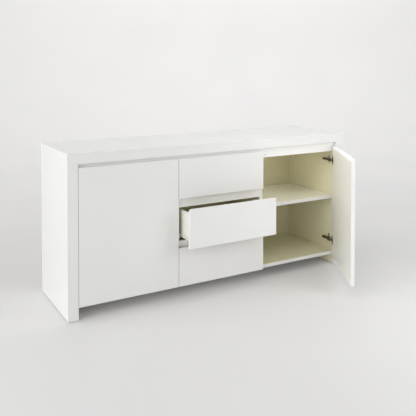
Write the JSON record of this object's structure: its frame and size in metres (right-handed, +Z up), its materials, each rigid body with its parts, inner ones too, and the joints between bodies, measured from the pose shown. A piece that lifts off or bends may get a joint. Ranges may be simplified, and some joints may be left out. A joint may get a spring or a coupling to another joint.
{
  "type": "sideboard buffet",
  "caption": "White gloss handle-less sideboard: thick top on thick end panels, hinged doors left and right, a centre bank of drawers on roller runners.",
  "frame": {"origin": "on the floor under the middle of the carcass, at the base of the centre foot", "axes": "+Z up, +Y towards the back, +X to the right seen from the front"},
  "size_m": [1.65, 0.8851, 0.773],
  "materials": {
    "lacquered_board": "particle board, white lacquer outside and cream melamine inside",
    "cream_board": "particle board in cream melamine",
    "cream_hardboard": "thin fibreboard, cream face",
    "hinge_steel": "nickel-plated pressed steel",
    "screw_steel": "zinc-plated",
    "runner_enamel": "cream epoxy-coated steel",
    "nylon": "moulded nylon",
    "black_plastic": "moulded polypropylene",
    "clear_bumper": "clear soft polyurethane",
    "beech": "bare beech",
    "zinc_casting": "die-cast zinc"
  },
  "bodies": {
    "carcass": {"top_slab": "lacquered_board", "left_end_panel": "lacquered_board", "right_end_panel": "lacquered_board", "left_partition": "lacquered_board", "right_partition": "lacquered_board", "bottom_panel": "lacquered_board", "back_panel": "cream_hardboard", "top_front_rail": "lacquered_board", "upper_drawer_rail": "lacquered_board", "lower_drawer_rail": "lacquered_board", "left_shelf": "lacquered_board", "right_shelf": "lacquered_board", "shelf_pins": "screw_steel", "floor_glides": "black_plastic", "centre_foot": "black_plastic", "wooden_dowels": "beech", "panel_connectors": "zinc_casting", "back_screws": "screw_steel", "front_bumpers": "clear_bumper", "hinge_plates": "hinge_steel", "hinge_arms": "hinge_steel", "carcass_screws": "screw_steel", "top_cabinet_runners": "runner_enamel", "middle_cabinet_runners": "runner_enamel", "bottom_cabinet_runners": "runner_enamel"},
    "left_door": {"left_door": "lacquered_board", "left_hinge_cups": "hinge_steel", "left_cup_screws": "screw_steel"},
    "left_links": {"left_hinge_links": "hinge_steel"},
    "right_door": {"right_door": "lacquered_board", "right_hinge_cups": "hinge_steel", "right_cup_screws": "screw_steel"},
    "right_links": {"right_hinge_links": "hinge_steel"},
    "top_drawer": {"top_drawer_front": "lacquered_board", "top_drawer_left_side": "cream_board", "top_drawer_right_side": "cream_board", "top_drawer_back": "cream_board", "top_drawer_bottom": "cream_hardboard", "top_drawer_screws": "screw_steel", "top_drawer_runners": "runner_enamel"},
    "top_fixed_rollers": {"top_cabinet_rollers": "nylon"},
    "top_moving_rollers": {"top_drawer_rollers": "nylon"},
    "middle_drawer": {"middle_drawer_front": "lacquered_board", "middle_drawer_left_side": "cream_board", "middle_drawer_right_side": "cream_board", "middle_drawer_back": "cream_board", "middle_drawer_bottom": "cream_hardboard", "middle_drawer_screws": "screw_steel", "middle_drawer_runners": "runner_enamel"},
    "middle_fixed_rollers": {"middle_cabinet_rollers": "nylon"},
    "middle_moving_rollers": {"middle_drawer_rollers": "nylon"},
    "bottom_drawer": {"bottom_drawer_front": "lacquered_board", "bottom_drawer_left_side": "cream_board", "bottom_drawer_right_side": "cream_board", "bottom_drawer_back": "cream_board", "bottom_drawer_bottom": "cream_hardboard", "bottom_drawer_screws": "screw_steel", "bottom_drawer_runners": "runner_enamel"},
    "bottom_fixed_rollers": {"bottom_cabinet_rollers": "nylon"},
    "bottom_moving_rollers": {"bottom_drawer_rollers": "nylon"}
  },
  "joints": [
    {"name": "left_door_swing", "type": "hinge", "parent": "carcass", "child": "left_door", "pos_m": [-0.769, -0.222, 0.383], "axis": [0, 0, -1], "range_deg": [0, 95]},
    {"name": "left_link_turn", "type": "hinge", "parent": "carcass", "child": "left_links", "pos_m": [-0.7445, -0.2135, 0.383], "axis": [0, 0, -1], "range_deg": [-100, 5]},
    {"name": "right_door_swing", "type": "hinge", "parent": "carcass", "child": "right_door", "pos_m": [0.769, -0.222, 0.383], "axis": [0, 0, 1], "range_deg": [-59, 36]},
    {"name": "right_link_turn", "type": "hinge", "parent": "carcass", "child": "right_links", "pos_m": [0.7445, -0.2135, 0.383], "axis": [0, 0, 1], "range_deg": [-41, 64]},
    {"name": "top_drawer_slide", "type": "slide", "parent": "carcass", "child": "top_drawer", "axis": [0, -1, 0], "range_m": [0, 0.3]},
    {"name": "top_fixed_roller_spin", "type": "hinge", "parent": "carcass", "child": "top_fixed_rollers", "pos_m": [0, -0.191, 0.5335], "axis": [1, 0, 0], "continuous": true},
    {"name": "top_moving_roller_spin", "type": "hinge", "parent": "top_drawer", "child": "top_moving_rollers", "pos_m": [0, 0.182, 0.5335], "axis": [1, 0, 0], "continuous": true},
    {"name": "middle_drawer_slide", "type": "slide", "parent": "carcass", "child": "middle_drawer", "axis": [0, -1, 0], "range_m": [-0.118, 0.182]},
    {"name": "middle_fixed_roller_spin", "type": "hinge", "parent": "carcass", "child": "middle_fixed_rollers", "pos_m": [0, -0.191, 0.312], "axis": [1, 0, 0], "continuous": true},
    {"name": "middle_moving_roller_spin", "type": "hinge", "parent": "middle_drawer", "child": "middle_moving_rollers", "pos_m": [0, 0.064, 0.312], "axis": [1, 0, 0], "continuous": true},
    {"name": "bottom_drawer_slide", "type": "slide", "parent": "carcass", "child": "bottom_drawer", "axis": [0, -1, 0], "range_m": [0, 0.3]},
    {"name": "bottom_fixed_roller_spin", "type": "hinge", "parent": "carcass", "child": "bottom_fixed_rollers", "pos_m": [0, -0.191, 0.0905], "axis": [1, 0, 0], "continuous": true},
    {"name": "bottom_moving_roller_spin", "type": "hinge", "parent": "bottom_drawer", "child": "bottom_moving_rollers", "pos_m": [0, 0.182, 0.0905], "axis": [1, 0, 0], "continuous": true}
  ],
  "couplings": [
    {"joint": "left_link_turn", "follows": "left_door_swing", "ratio": -1},
    {"joint": "right_link_turn", "follows": "right_door_swing", "ratio": -1},
    {"joint": "top_fixed_roller_spin", "follows": "top_drawer_slide", "rad_per_m": 111.11},
    {"joint": "top_moving_roller_spin", "follows": "top_drawer_slide", "rad_per_m": 111.11},
    {"joint": "middle_fixed_roller_spin", "follows": "middle_drawer_slide", "rad_per_m": 111.11},
    {"joint": "middle_moving_roller_spin", "follows": "middle_drawer_slide", "rad_per_m": 111.11},
    {"joint": "bottom_fixed_roller_spin", "follows": "bottom_drawer_slide", "rad_per_m": 111.11},
    {"joint": "bottom_moving_roller_spin", "follows": "bottom_drawer_slide", "rad_per_m": 111.11}
  ]
}
